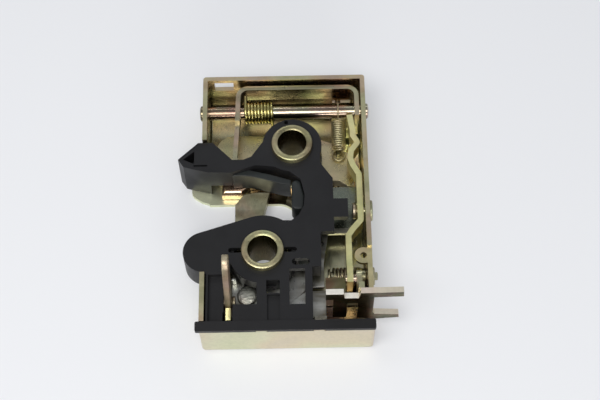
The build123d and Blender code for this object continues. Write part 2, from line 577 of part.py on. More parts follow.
def slide_rivet():
    at = (slide_rivet_x, slide_rivet_y)
    head_z = slide_high + layer_gap
    head_r = slide_rivet_head_r
    head_height = 1.8
    ball_r = (head_r**2 + head_height**2) / (2 * head_height)
    dome = Pos(*at, head_z + head_height - ball_r) * Sphere(ball_r)
    dome &= disc(head_r + 1, head_z, head_z + 5, at)
    return disc(slide_rivet_d / 2, back_low, head_z + 0.5, at) + dome


nodes = {
    "housing": housing,
    "back_plate": back_plate,
    "carrier": carrier,
    "lower_bush": lambda: bush((0, 0)),
    "upper_bush": lambda: bush(upper_bush),
    "mouth_liner": mouth_liner,
    "striker_buffer": striker_buffer,
    "fork": fork,
    "fork_spring": fork_spring,
    "pawl": pawl,
    "pawl_spring_pin": pawl_spring_pin,
    "pawl_spring": pawl_spring,
    "cross_shaft": cross_shaft,
    "release_bail": release_bail,
    "bail_spring": bail_spring,
    "release_link": release_link,
    "link_guide_rivet": link_guide_rivet,
    "outside_lever": outside_lever,
    "link_pin": link_pin,
    "outside_lever_pivot": outside_lever_pivot,
    "outside_lever_spring": outside_lever_spring,
    "lock_lever": lock_lever,
    "lock_lever_pivot": lock_lever_pivot,
    "lock_slide": lock_slide,
    "slide_rivet": slide_rivet,
}

os.makedirs("parts", exist_ok=True)
for name, make in nodes.items():
    export_step(make(), f"parts/{name}.step")
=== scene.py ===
# %% [markdown]
# # A vehicle door latch
# The object is a small latch out of a car door: a folded steel case with yellow zinc plating, a black plastic cover
# moulding, a fork and a pawl round two tubes, and the levers and springs that work them.
# Its solids could be drawn again here, but then two sets of sizes would have to agree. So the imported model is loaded
# as a fixed frame, and this script only adds the looks. Blender measures in metres, and the value `mm` lets the steps
# below be written in millimetres.

# %% Load the frame
import json
import math

import bpy
from mathutils import Matrix, Vector

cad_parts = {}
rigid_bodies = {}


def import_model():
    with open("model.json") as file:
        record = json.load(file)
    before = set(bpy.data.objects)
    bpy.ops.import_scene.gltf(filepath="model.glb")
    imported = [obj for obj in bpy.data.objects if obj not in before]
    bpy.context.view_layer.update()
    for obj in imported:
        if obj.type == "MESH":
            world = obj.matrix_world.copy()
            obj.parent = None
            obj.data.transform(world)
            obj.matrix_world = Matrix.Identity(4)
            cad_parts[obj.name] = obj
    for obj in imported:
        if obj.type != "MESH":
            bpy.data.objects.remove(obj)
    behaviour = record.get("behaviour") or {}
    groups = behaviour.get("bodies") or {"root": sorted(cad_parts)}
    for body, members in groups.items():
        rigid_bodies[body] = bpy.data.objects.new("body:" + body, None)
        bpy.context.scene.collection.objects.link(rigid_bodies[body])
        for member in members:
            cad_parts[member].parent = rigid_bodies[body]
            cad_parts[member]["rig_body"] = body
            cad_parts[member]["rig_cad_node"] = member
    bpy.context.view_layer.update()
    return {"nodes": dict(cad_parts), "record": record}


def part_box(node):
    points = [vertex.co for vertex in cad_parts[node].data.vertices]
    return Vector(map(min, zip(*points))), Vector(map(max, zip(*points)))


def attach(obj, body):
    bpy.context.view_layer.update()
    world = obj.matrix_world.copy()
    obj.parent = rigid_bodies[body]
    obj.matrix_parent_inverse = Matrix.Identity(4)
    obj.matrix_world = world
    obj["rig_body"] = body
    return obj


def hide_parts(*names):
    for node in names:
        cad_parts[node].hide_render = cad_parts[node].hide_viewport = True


mm = 0.001
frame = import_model()
nodes = frame["nodes"]
print("nodes loaded:", len(nodes))

# %% [markdown]
# ## Camera and light
# The photograph looks down at the latch at about 63 degrees, from the side of the folded near wall. The camera could
# be turned by eye until it seems right. Here its place and its axes come from a fit of the bush centres and the case
# corners instead, because that is steadier than the eye. The long lens keeps the case almost rectangular.

# %% Camera
right = Vector((0.99984, -0.01707, -0.00580))
up = Vector((0.01786, 0.89440, 0.44690))
back = right.cross(up)
stand_x, stand_y, stand_z = 11.11, -161.35, 375.64

camera = bpy.data.objects.new("camera", bpy.data.cameras.new("camera"))
bpy.context.scene.collection.objects.link(camera)
camera.matrix_world = Matrix(((right.x, up.x, back.x, stand_x * mm),
                              (right.y, up.y, back.y, stand_y * mm),
                              (right.z, up.z, back.z, stand_z * mm),
                              (0, 0, 0, 1)))
camera.data.sensor_width = 36
camera.data.lens = 75
camera.data.clip_start = 0.01
bpy.context.scene.camera = camera
bpy.context.scene.view_settings.view_transform = "Standard"
print("camera height in mm:", round(camera.location.z / mm))

# %% [markdown]
# Plated metal shows what is round it. Small lamps would give it hard white dots, so the lamps are large soft boxes:
# one overhead, one low in front that lights the near wall, and one narrow strip behind that draws the bright lines
# on wire and shaft.

# %% Lamps
def soft_box(name, place, aim, size, watts, colour):
    lamp = bpy.data.lights.new(name, "AREA")
    lamp.shape = "RECTANGLE"
    lamp.size, lamp.size_y = size
    lamp.energy = watts
    lamp.color = colour
    holder = bpy.data.objects.new(name, lamp)
    bpy.context.scene.collection.objects.link(holder)
    holder.location = place
    holder.rotation_euler = (Vector(aim) - Vector(place)).to_track_quat("-Z", "Y").to_euler()
    print(name, "gives", watts, "W")


soft_box("overhead_box", place=(-0.16, -0.30, 0.72), aim=(0.01, 0.02, 0), size=(0.60, 0.36), watts=4.4,
         colour=(1, 0.985, 0.96))
soft_box("front_box", place=(0.10, -0.75, 0.20), aim=(0.01, 0, 0), size=(0.5, 0.20), watts=2.4,
         colour=(1, 0.97, 0.92))
soft_box("back_strip", place=(0.05, 0.70, 0.62), aim=(0.01, 0.04, 0), size=(0.8, 0.05), watts=0.8,
         colour=(0.96, 0.98, 1))

# %% [markdown]
# The rest of the light is the room itself. A pale bluish world at low strength fills the shadows between the levers
# without making shadows of its own.

# %% Room light
world = bpy.data.worlds.new("studio")
bpy.context.scene.world = world
world.use_nodes = True
room = world.node_tree.nodes["Background"]
room.inputs["Color"].default_value = (0.90, 0.93, 1.0, 1)
room.inputs["Strength"].default_value = 0.36
print("room light strength:", round(room.inputs["Strength"].default_value, 2))

# %% [markdown]
# The latch lies on white paper. Brighter lamps would make grey paper look white, but they would bleach the metal too.
# So the paper glows a little by itself, and only for rays that come from the camera, from a reflection or through
# something clear. It still takes the shadow of the latch.

# %% Floor
floor_width = 3
paper_glow = 0.27

bpy.ops.mesh.primitive_plane_add(size=floor_width, location=(0, 0, 0))
floor = bpy.context.object
floor.name = "floor"
paper = bpy.data.materials.new("floor_paper")
paper.use_nodes = True
paper_shader = paper.node_tree.nodes["Principled BSDF"]
paper_shader.inputs["Base Color"].default_value = (0.60, 0.61, 0.63, 1)
paper_shader.inputs["Roughness"].default_value = 0.85
paper_shader.inputs["Emission Color"].default_value = (0.80, 0.81, 0.83, 1)
rays = paper.node_tree.nodes.new("ShaderNodeLightPath")
direct, seen, glow = [paper.node_tree.nodes.new("ShaderNodeMath") for _ in range(3)]
direct.operation = seen.operation = "MAXIMUM"
glow.operation = "MULTIPLY"
glow.inputs[1].default_value = paper_glow
for source, socket in (
        (rays.outputs["Is Camera Ray"], direct.inputs[0]),
        (rays.outputs["Is Glossy Ray"], direct.inputs[1]),
        (direct.outputs[0], seen.inputs[0]),
        (rays.outputs["Is Transmission Ray"], seen.inputs[1]),
        (seen.outputs[0], glow.inputs[0]),
        (glow.outputs[0], paper_shader.inputs["Emission Strength"])):
    paper.node_tree.links.new(source, socket)
floor.data.materials.append(paper)
print("floor width in m:", floor_width)

# %% [markdown]
# ## Finishes
# Nearly every piece of the latch is plated, so many materials need the same effects. Each effect could be copied into
# every material, but it is easier to keep as one node group with named inputs. These two helpers make such a group,
# and add a node to it with its values and links in one line.

# %% Node group helpers
def new_group(name, inputs, outputs):
    group = bpy.data.node_groups.new(name, "ShaderNodeTree")
    for label, kind, value in inputs:
        socket = group.interface.new_socket(label, in_out="INPUT", socket_type=kind)
        socket.default_value = value
    for label, kind in outputs:
        group.interface.new_socket(label, in_out="OUTPUT", socket_type=kind)
    start = group.nodes.new("NodeGroupInput")
    end = group.nodes.new("NodeGroupOutput")
    print("group", name, "has inputs", [label for label, _, _ in inputs])
    return group, start, end


def add_node(tree, kind, links=(), **settings):
    node = tree.nodes.new(kind)
    for key, value in settings.items():
        if key in node.inputs:
            node.inputs[key].default_value = value
        else:
            setattr(node, key, value)
    for key, source in links:
        tree.links.new(source, node.inputs[key])
    return node


# %% [markdown]
# Three kinds of node come back in every finish: noise that gives a cloudy pattern, a colour ramp that turns its grey
# values into colours, and a mix of two colours. A helper for each keeps the recipes below short.

# %% Texture helpers
def noise(tree, place, scale, detail):
    return add_node(tree, "ShaderNodeTexNoise", [("Vector", place)], Scale=scale, Detail=detail)


def ramp(tree, factor, stops):
    node = add_node(tree, "ShaderNodeValToRGB", [("Fac", factor)])
    marks = node.color_ramp.elements
    while len(marks) < len(stops):
        marks.new(0.5)
    for mark, (place, colour) in zip(marks, stops):
        mark.position = place
        mark.color = (*colour, 1) if isinstance(colour, tuple) else (colour, colour, colour, 1)
    return node


def mix_colour(tree, factor, first, second, mode="MIX"):
    node = add_node(tree, "ShaderNodeMix", data_type="RGBA", blend_type=mode)
    for socket, value in ((node.inputs[0], factor), (node.inputs[6], first), (node.inputs[7], second)):
        if isinstance(value, (int, float)):
            socket.default_value = value
        else:
            tree.links.new(value, socket)
    return node.outputs[2]


# %% [markdown]
# The yellow on the zinc is a very thin film, so its colour drifts between straw, green and pink as a soap bubble's
# does. The film could be computed from its thickness, but then its colours would be hard to choose. So wide noise
# picks a place on a listed row of film colours, and each material says how much of it shows over its own straw
# colour. Brown stains in long streaks and a fine dulling are laid over it.

# %% Passivation tint
film_colours = [(0.28, (0.30, 0.55, 0.30)), (0.40, (0.60, 0.66, 0.34)), (0.50, (0.80, 0.74, 0.48)),
                (0.58, (0.86, 0.56, 0.38)), (0.68, (0.74, 0.46, 0.46)), (0.78, (0.46, 0.58, 0.46))]
stain_colours = [(0.40, (0.20, 0.17, 0.10)), (0.56, (1.0, 1.0, 1.0))]
streak_stretch, streak_scale, dust_scale = (0.3, 1.0, 1.0), 170, 1100

tint_group, tint_in, tint_out = new_group(
    "passivation_tint",
    [("Place", "NodeSocketVector", (0, 0, 0)), ("Straw", "NodeSocketColor", (0.6, 0.55, 0.3, 1)),
     ("Amount", "NodeSocketFloat", 0.5), ("Scale", "NodeSocketFloat", 60.0), ("Stain", "NodeSocketFloat", 0.3)],
    [("Color", "NodeSocketColor")])
where = tint_in.outputs["Place"]
wide = add_node(tint_group, "ShaderNodeTexNoise", [("Vector", where), ("Scale", tint_in.outputs["Scale"])], Detail=2)
film = ramp(tint_group, wide.outputs["Fac"], film_colours)
tinted = mix_colour(tint_group, tint_in.outputs["Amount"], tint_in.outputs["Straw"], film.outputs["Color"])
long_way = add_node(tint_group, "ShaderNodeVectorMath", [(0, where)], operation="MULTIPLY")
long_way.inputs[1].default_value = streak_stretch
streaks = noise(tint_group, long_way.outputs[0], streak_scale, 3)
stain = ramp(tint_group, streaks.outputs["Fac"], stain_colours)
stained = mix_colour(tint_group, 1.0, tinted, stain.outputs["Color"], "MULTIPLY")
blended = mix_colour(tint_group, tint_in.outputs["Stain"], tinted, stained)
dust = noise(tint_group, where, dust_scale, 3)
dull = ramp(tint_group, dust.outputs["Fac"], [(0.35, 0.93), (0.65, 1.0)])
tint_group.links.new(mix_colour(tint_group, 1.0, blended, dull.outputs["Color"], "MULTIPLY"),
                     tint_out.inputs["Color"])

# %% [markdown]
# Rolled sheet, turned tube and ground steel all have a fine grain. A picture of scratches would need a UV map on
# every piece, so noise is stretched along one direction instead. The group gives it out as a height for the bump,
# and together with wider smudges as a small change of roughness.

# %% Metal grain
grain_scale, smudge_scale = 1800, 240

grain_group, grain_in, grain_out = new_group(
    "metal_grain",
    [("Place", "NodeSocketVector", (0, 0, 0)), ("Stretch", "NodeSocketVector", (1, 1, 1)),
     ("Rough", "NodeSocketFloat", 0.3), ("Spread", "NodeSocketFloat", 0.15)],
    [("Height", "NodeSocketFloat"), ("Roughness", "NodeSocketFloat")])
where = grain_in.outputs["Place"]
stretched = add_node(grain_group, "ShaderNodeVectorMath", [(0, where), (1, grain_in.outputs["Stretch"])],
                     operation="MULTIPLY")
grains = noise(grain_group, stretched.outputs[0], grain_scale, 4)
smudges = noise(grain_group, where, smudge_scale, 4)
both = add_node(grain_group, "ShaderNodeMath", [(0, grains.outputs["Fac"]), (1, smudges.outputs["Fac"])],
                operation="ADD")
centred = add_node(grain_group, "ShaderNodeMath", [(0, both.outputs[0])], operation="SUBTRACT")
centred.inputs[1].default_value = 1.0
scaled = add_node(grain_group, "ShaderNodeMath", [(0, centred.outputs[0]), (1, grain_in.outputs["Spread"])],
                  operation="MULTIPLY")
roughened = add_node(grain_group, "ShaderNodeMath", [(0, scaled.outputs[0]), (1, grain_in.outputs["Rough"])],
                     operation="ADD", use_clamp=True)
grain_group.links.new(grains.outputs["Fac"], grain_out.inputs["Height"])
grain_group.links.new(roughened.outputs[0], grain_out.inputs["Roughness"])

# %% [markdown]
# Every plated material is the two groups in front of one metallic shader. Its straw colour and its numbers say how
# bright, how spotted, how rough and how grainy it is. The base of the case also changes colour along its length, and
# `bands` gives it that: pairs of a place in mm along Y and a colour.

# %% Plated metal helper
relief_depth = 0.0002
band_strength = 0.65


def banded(tree, place, colour, bands):
    first, last = bands[0][0], bands[-1][0]
    apart = add_node(tree, "ShaderNodeSeparateXYZ", [("Vector", place)])
    along = add_node(tree, "ShaderNodeMapRange", [("Value", apart.outputs["Y"])])
    along.inputs["From Min"].default_value = first * mm
    along.inputs["From Max"].default_value = last * mm
    stops = [((spot - first) / (last - first), shade) for spot, shade in bands]
    shades = ramp(tree, along.outputs["Result"], stops)
    return mix_colour(tree, band_strength, colour, shades.outputs["Color"])


def metal(name, straw, amount, scale, rough, spread=0.2, stretch=(1, 1, 1), bump=0.03, stain=0.25, bands=()):
    material = bpy.data.materials.new(name)
    material.use_nodes = True
    tree = material.node_tree
    shader = tree.nodes["Principled BSDF"]
    shader.inputs["Metallic"].default_value = 1.0
    place = add_node(tree, "ShaderNodeTexCoord").outputs["Object"]
    tint = add_node(tree, "ShaderNodeGroup", node_tree=tint_group)
    grain = add_node(tree, "ShaderNodeGroup", node_tree=grain_group)
    for group, label, value in ((tint, "Straw", (*straw, 1)), (tint, "Amount", amount), (tint, "Scale", scale),
                                (tint, "Stain", stain), (grain, "Stretch", stretch), (grain, "Rough", rough),
                                (grain, "Spread", spread)):
        group.inputs[label].default_value = value
    for group in (tint, grain):
        tree.links.new(place, group.inputs["Place"])
    relief = add_node(tree, "ShaderNodeBump", [("Height", grain.outputs["Height"])], Strength=bump,
                      Distance=relief_depth)
    colour = banded(tree, place, tint.outputs["Color"], bands) if bands else tint.outputs["Color"]
    tree.links.new(colour, shader.inputs["Base Color"])
    tree.links.new(grain.outputs["Roughness"], shader.inputs["Roughness"])
    tree.links.new(relief.outputs["Normal"], shader.inputs["Normal"])
    print("finish", name, "has roughness", rough)
    return material


# %% [markdown]
# The case is one folded sheet, but its faces don't look alike. The rolled faces are glossy with green and pink
# clouds, the cut rim is duller and browner, and what lies in the shade of the mechanism gets a dark brown painted
# shade. The near wall gets a paler straw as painted light, the lip in the mouth a pale painted highlight, and the open
# part of the back plate a darker grey as painted shade. One material couldn't give all of that, so each kind of face
# has its own. The base goes from straw at the mouth over orange and green to brown below the far wall.

# %% Finishes of the case
along_the_fold = (1, 0.15, 1)
base_bands = ((24, (0.70, 0.66, 0.44)), (33, (0.66, 0.46, 0.26)), (39, (0.66, 0.44, 0.28)),
              (43, (0.60, 0.64, 0.44)), (51, (0.56, 0.62, 0.42)), (58, (0.20, 0.15, 0.08)))

case_zinc = metal("case_zinc", (0.60, 0.56, 0.36), amount=0.55, scale=38, rough=0.27, stretch=along_the_fold,
                  bump=0.02, stain=0.55)
wall_edge = metal("wall_edge", (0.46, 0.42, 0.27), amount=0.30, scale=60, rough=0.42, bump=0.05, stain=0.2)
painted_light_front = metal("painted_light_front", (0.66, 0.655, 0.49), amount=0.25, scale=30, rough=0.34, spread=0.12, bump=0.015,
                   stain=0.0)
painted_shade_zinc = metal("painted_shade_zinc", (0.17, 0.135, 0.075), amount=0.35, scale=60, rough=0.26, stretch=(0.12, 1, 1),
                    stain=0.9)
outer_zinc = metal("outer_zinc", (0.64, 0.60, 0.42), amount=0.38, scale=22, rough=0.32, spread=0.15,
                   stretch=(1, 0.2, 1), bump=0.015, stain=0.12)
painted_highlight_mouth_edge = metal("painted_highlight_mouth_edge", (0.86, 0.88, 0.64), amount=0.10, scale=60, rough=0.44, spread=0.1, bump=0.01,
                   stain=0.0)
floor_zinc = metal("floor_zinc", (0.56, 0.54, 0.36), amount=0.50, scale=26, rough=0.24, spread=0.15,
                   stretch=(1, 0.2, 1), bump=0.01, stain=0.1, bands=base_bands)
gold_zinc = metal("gold_zinc", (0.86, 0.74, 0.42), amount=0.15, scale=150, rough=0.34, bump=0.05, stain=0.2)
grey_zinc = metal("grey_zinc", (0.60, 0.62, 0.58), amount=0.08, scale=90, rough=0.36, spread=0.4,
                  stretch=(1, 0.4, 1), bump=0.12, stain=0.75)
painted_shade_plate = metal("painted_shade_plate", (0.24, 0.27, 0.23), amount=0.10, scale=60, rough=0.26, spread=0.3, bump=0.04,
                   stain=0.6)

# %% [markdown]
# The levers, the bail, the link and the pawl were plated apart from the case, so each has a tone of its own, from
# pale yellow on the link to orange brown on the pawl. The cut edges that face the light get a nearly white painted
# highlight, and the prongs of the outside lever a pale painted light. Its flange gets a brown painted shade with spots
# where it faces the dark, and its web and the pin of the pawl spring a near black painted shade.

# %% Finishes of the levers
lever_zinc = metal("lever_zinc", (0.60, 0.54, 0.36), amount=0.50, scale=70, rough=0.30, stain=0.45)
link_zinc = metal("link_zinc", (1.0, 0.94, 0.46), amount=0.18, scale=90, rough=0.36, spread=0.25, bump=0.12,
                  stain=0.1)
lock_zinc = metal("lock_zinc", (0.46, 0.38, 0.28), amount=0.25, scale=70, rough=0.50, spread=0.15, stain=0.3)
bail_zinc = metal("bail_zinc", (0.52, 0.45, 0.32), amount=0.30, scale=90, rough=0.32, stain=0.3)
pawl_zinc = metal("pawl_zinc", (0.66, 0.50, 0.29), amount=0.50, scale=45, rough=0.30, bump=0.02, stain=0.05)
painted_shade_brown = metal("painted_shade_brown", (0.10, 0.073, 0.033), amount=0.15, scale=90, rough=0.40, spread=0.3,
                   stretch=(0.15, 1, 1), bump=0.20, stain=0.6)
painted_shadow_zinc = metal("painted_shadow_zinc", (0.10, 0.075, 0.035), amount=0.15, scale=300, rough=0.34, spread=0.3, bump=0.20,
                  stain=0.8)
painted_highlight_edge = metal("painted_highlight_edge", (1.0, 0.97, 0.88), amount=0.05, scale=90, rough=0.50, spread=0.1, bump=0.01,
                    stain=0.0)
painted_light_prong = metal("painted_light_prong", (0.82, 0.74, 0.62), amount=0.15, scale=60, rough=0.46, spread=0.1, bump=0.01,
                   stain=0.0)

# %% [markdown]
# Turned tube, ground shaft and spring wire are smoother than sheet, and their grain runs round or along them. So
# the tube and the shaft get a stretch that fits their axis. The bore of a bush is nearly black, because little light
# gets in, and the left end of the shaft is browner than the rest. Rivet heads are rough from the heading tool.

# %% Finishes of steel, wire and rivets
along_the_shaft = (0.1, 1, 1)

bush_steel = metal("bush_steel", (0.44, 0.40, 0.23), amount=0.20, scale=90, rough=0.38, spread=0.4,
                   stretch=(1, 1, 0.1), bump=0.14, stain=0.4)
bore_steel = metal("bore_steel", (0.11, 0.085, 0.03), amount=0.05, scale=90, rough=0.30, stretch=(1, 1, 0.05),
                   bump=0.05, stain=0.2)
fork_steel = metal("fork_steel", (0.50, 0.46, 0.31), amount=0.15, scale=130, rough=0.40, spread=0.5,
                   stretch=(1, 0.3, 1), bump=0.45, stain=0.45)
spring_steel = metal("spring_steel", (0.56, 0.47, 0.17), amount=0.15, scale=120, rough=0.26, spread=0.15, bump=0.01,
                     stain=0.05)
wire_zinc = metal("wire_zinc", (0.56, 0.50, 0.31), amount=0.15, scale=120, rough=0.48, spread=0.15, bump=0.01,
                  stain=0.05)
bright_steel = metal("bright_steel", (0.25, 0.24, 0.20), amount=0.30, scale=60, rough=0.20, spread=0.15,
                     stretch=along_the_shaft, bump=0.02, stain=0.4)
shaft_brown = metal("shaft_brown", (0.22, 0.15, 0.12), amount=0.25, scale=90, rough=0.24, stretch=along_the_shaft,
                    stain=0.5)
dull_pin = metal("dull_pin", (0.42, 0.37, 0.27), amount=0.25, scale=120, rough=0.42, spread=0.3, bump=0.10,
                 stain=0.4)
cast_rivet = metal("cast_rivet", (0.58, 0.58, 0.53), amount=0.10, scale=90, rough=0.42, spread=0.5, bump=1.0,
                   stain=0.3)

# %% [markdown]
# The black moulding is glass-filled plastic: nearly black, faintly cloudy, with a soft wide gloss. A plain black
# would look like a hole in the picture, so two close blacks and two close roughnesses follow the same clouds, and
# fine specks raise the skin a little. The rubber of the mouth is made the same way, somewhat paler and smoother.

# %% Black moulding and rubber
cloud_scale, speck_scale, gloss_change = 120, 2600, 0.08


def moulding(name, dark, light, rough, bump, specular):
    material = bpy.data.materials.new(name)
    material.use_nodes = True
    tree = material.node_tree
    shader = tree.nodes["Principled BSDF"]
    shader.inputs["Specular IOR Level"].default_value = specular
    place = add_node(tree, "ShaderNodeTexCoord").outputs["Object"]
    cloud = noise(tree, place, cloud_scale, 5)
    specks = noise(tree, place, speck_scale, 2)
    tone = ramp(tree, cloud.outputs["Fac"], [(0.3, dark), (0.7, light)])
    gloss = ramp(tree, cloud.outputs["Fac"], [(0.3, rough + gloss_change), (0.7, rough - gloss_change)])
    relief = add_node(tree, "ShaderNodeBump", [("Height", specks.outputs["Fac"])], Strength=bump,
                      Distance=relief_depth)
    tree.links.new(tone.outputs["Color"], shader.inputs["Base Color"])
    tree.links.new(gloss.outputs["Color"], shader.inputs["Roughness"])
    tree.links.new(relief.outputs["Normal"], shader.inputs["Normal"])
    print("finish", name, "has roughness", rough)
    return material


black_moulding = moulding("black_moulding", dark=(0.008, 0.008, 0.009), light=(0.014, 0.014, 0.015), rough=0.46,
                          bump=0.12, specular=0.3)
buffer_rubber = moulding("buffer_rubber", dark=(0.012, 0.014, 0.014), light=(0.022, 0.026, 0.025), rough=0.40,
                         bump=0.06, specular=0.35)

# %% [markdown]
# Now every solid gets its main finish. A copy of a solid keeps it, so the steps after this one only change the faces
# that differ. The pin of the pawl spring gets the near black painted shade, so that the end ring round it looks like a
# dark hole.

# %% One finish for each solid
finishes = {
    "housing": case_zinc, "back_plate": grey_zinc, "carrier": black_moulding, "lower_bush": bush_steel,
    "upper_bush": bush_steel, "mouth_liner": buffer_rubber, "striker_buffer": buffer_rubber, "fork": fork_steel,
    "fork_spring": spring_steel, "pawl": pawl_zinc, "pawl_spring_pin": painted_shadow_zinc, "pawl_spring": spring_steel,
    "cross_shaft": bright_steel, "release_bail": bail_zinc, "bail_spring": spring_steel,
    "release_link": link_zinc, "link_guide_rivet": dull_pin, "outside_lever": lever_zinc,
    "link_pin": bright_steel, "outside_lever_pivot": dull_pin, "outside_lever_spring": spring_steel,
    "lock_lever": lock_zinc, "lock_lever_pivot": dull_pin, "lock_slide": grey_zinc, "slide_rivet": cast_rivet,
}
for name, finish in finishes.items():
    for slot in nodes[name].material_slots:
        slot.material = finish
print("solids with a finish:", len(finishes))

# %% [markdown]
# ## Soft edges on the stampings and mouldings
# No pressed or moulded edge is sharp, and a sharp one catches no light. The loaded solids have sharp edges and are
# loose triangles. They can't be bevelled as they are, so a copy of each gets its points merged and its flat faces
# joined first. The copy then rides on the same body as its solid and takes its place in the picture.

# %% Copy helpers
bodies = frame["record"]["behaviour"]["bodies"]
body_of = {node: body for body, members in bodies.items() for node in members}
same_point = 1e-6
flat_angle = math.radians(0.8)


def stand_for(piece, node):
    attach(piece, body_of[node])
    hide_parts(node)
    print(piece.name, "has", len(piece.data.polygons), "faces")


def clean_copy(node):
    bpy.ops.object.select_all(action="DESELECT")
    piece = nodes[node].copy()
    piece.data = nodes[node].data.copy()
    bpy.context.scene.collection.objects.link(piece)
    piece.name = node + "_finished"
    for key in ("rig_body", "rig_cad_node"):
        if key in piece:
            del piece[key]
    piece.parent = None
    bpy.context.view_layer.objects.active = piece
    piece.select_set(True)
    bpy.ops.object.mode_set(mode="EDIT")
    bpy.ops.mesh.select_all(action="SELECT")
    bpy.ops.mesh.remove_doubles(threshold=same_point)
    bpy.ops.mesh.dissolve_limited(angle_limit=flat_angle)
    bpy.ops.object.mode_set(mode="OBJECT")
    return piece


# %% [markdown]
# A narrow bevel goes on all edges that turn by more than 38 degrees, so that curved faces stay as they are. The pawl
# also has two well rounded ends, and these get a wide bevel before the narrow one. An angle can't tell its ends from
# the rest, so the wide bevel follows a weight that is written on the edges inside a given region. A weighted normal
# then keeps the large faces flat to the light, so that only the bevels catch it.

# %% Bevel helpers
sharp_angle = math.radians(38)
smooth_angle = math.radians(40)


def round_off(piece, width, inside):
    mesh = piece.data
    sides = {}
    for face in mesh.polygons:
        for key in face.edge_keys:
            sides.setdefault(key, []).append(face.normal)
    weights = (mesh.attributes.get("bevel_weight_edge")
               or mesh.attributes.new("bevel_weight_edge", "FLOAT", "EDGE"))
    for edge in mesh.edges:
        pair = sides.get(edge.key, [])
        sharp = len(pair) == 2 and pair[0].angle(pair[1]) > sharp_angle
        chosen = sharp and all(inside(mesh.vertices[index].co / mm) for index in edge.vertices)
        weights.data[edge.index].value = 1.0 if chosen else 0.0
    swell = piece.modifiers.new("swell", "BEVEL")
    swell.width = width * mm
    swell.segments = 6
    swell.limit_method = "WEIGHT"
    bpy.ops.object.modifier_apply(modifier=swell.name)


def soften(node, width, segments, level_faces, round_ends=()):
    piece = clean_copy(node)
    for big_width, inside in round_ends:
        round_off(piece, big_width, inside)
    bevel = piece.modifiers.new("edge", "BEVEL")
    bevel.width = width * mm
    bevel.segments = segments
    bevel.limit_method = "ANGLE"
    bevel.angle_limit = sharp_angle
    bpy.ops.object.modifier_apply(modifier=bevel.name)
    bpy.ops.object.shade_smooth_by_angle(angle=smooth_angle)
    if level_faces:
        level = piece.modifiers.new("level", "WEIGHTED_NORMAL")
        level.weight = 100
        level.keep_sharp = True
        bpy.ops.object.modifier_apply(modifier=level.name)
    stand_for(piece, node)
    return piece


# %% [markdown]
# Each piece has its own bevel: the edge of a thin sheet is tight, a lever's is softer, and the thick pawl's is the
# roundest. A row says the width in mm, the number of segments, and whether the flat faces are levelled. The pawl's
# nose and its right arm are picked out by their place, above the top of the fork.

# %% Bevelled copies
fork_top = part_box("fork")[1][2] / mm


def on_nose(spot):
    return spot.z > fork_top - 0.1 and spot.x < -3 and spot.y < 31


def on_right_arm(spot):
    return spot.z > fork_top - 0.1 and spot.x > 15 and spot.y < 33.5


bevels = {
    "housing": (0.18, 2, True), "carrier": (0.25, 2, True), "fork": (0.35, 3, True), "pawl": (0.6, 4, True),
    "back_plate": (0.15, 2, True), "release_bail": (0.3, 3, True), "release_link": (0.3, 3, True),
    "outside_lever": (0.3, 3, True), "lock_lever": (0.22, 2, False), "lock_slide": (0.15, 2, True),
    "mouth_liner": (0.4, 3, True), "striker_buffer": (0.5, 3, False), "link_guide_rivet": (0.3, 3, True),
    "outside_lever_pivot": (0.3, 3, True), "lock_lever_pivot": (0.2, 2, False),
}
round_ends = {"pawl": [(1.5, on_nose), (1.0, on_right_arm)]}
made = {node: soften(node, width, segments, level_faces, round_ends.get(node, ()))
        for node, (width, segments, level_faces) in bevels.items()}
print("bevelled pieces:", len(made))

# %% [markdown]
# ## Finishes by face
# The same plating looks different where it was rolled, cut or folded, and faces in the shade or in the light also get
# painted shade or a painted highlight. A mask could be drawn for that, but the faces already end where the looks
# change. So faces are picked by their centre in mm and their normal, and given the finish of that place. Where one
# large face needs two finishes, a bisect cuts it first.

# %% Face helpers
def paint(piece, finish, test):
    mesh = piece.data
    names = [material.name if material else "" for material in mesh.materials]
    if finish.name not in names:
        mesh.materials.append(finish)
        names.append(finish.name)
    index = names.index(finish.name)
    count = 0
    for face in mesh.polygons:
        if test(face.center / mm, face.normal):
            face.material_index = index
            count += 1
    print(piece.name, finish.name, count, "faces")


def split(piece, spot, across, test):
    bpy.ops.object.select_all(action="DESELECT")
    bpy.context.view_layer.objects.active = piece
    piece.select_set(True)
    for face in piece.data.polygons:
        face.select = face.normal.z > 0.9 and test(face.center / mm)
    bpy.ops.object.mode_set(mode="EDIT")
    bpy.ops.mesh.bisect(plane_co=[value * mm for value in spot], plane_no=across)
    bpy.ops.object.mode_set(mode="OBJECT")


# %% [markdown]
# The near wall of the case is its palest face, and its paler straw is painted light where the front lamp falls. The
# outsides of the other walls are smooth with wide soft clouds, the rims are cut edges, and the inside of the far wall
# lies in the shade of the bail and gets a dark painted shade. Only the normal tells an outside from an inside, so each
# test asks for a place and a direction.

# %% Walls of the case
housing = made["housing"]
near_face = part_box("housing")[0][1] / mm
far_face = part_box("housing")[1][1] / mm
left_face, right_face = -19.6, 34.4
skin = 0.4
faces_up = 0.7


def outside_of_wall(c, n):
    far = n.y > 0.5 and c.y > far_face - skin
    left = n.x < -0.5 and c.x < left_face + skin
    right = n.x > 0.5 and c.x > right_face - skin
    return c.z > 0.2 and (far or left or right)


paint(housing, painted_light_front, lambda c, n: c.y < near_face + skin and n.y < -0.3)
paint(housing, outer_zinc, outside_of_wall)
paint(housing, wall_edge, lambda c, n: c.z > 5 and n.z > faces_up)
paint(housing, painted_shade_zinc, lambda c, n: c.y > far_face - 2.0 and n.y < -0.5)

# %% [markdown]
# The base is one large face. It is cut in front of the lower bush, at the far side of the mouth and where the lip
# begins. Then the lip that reaches out of the mouth and the side of the base in the mouth can get a pale painted
# highlight, the part under the carrier, the strip along the near wall and the inside of the near wall a dark painted
# shade, and the open part banded.

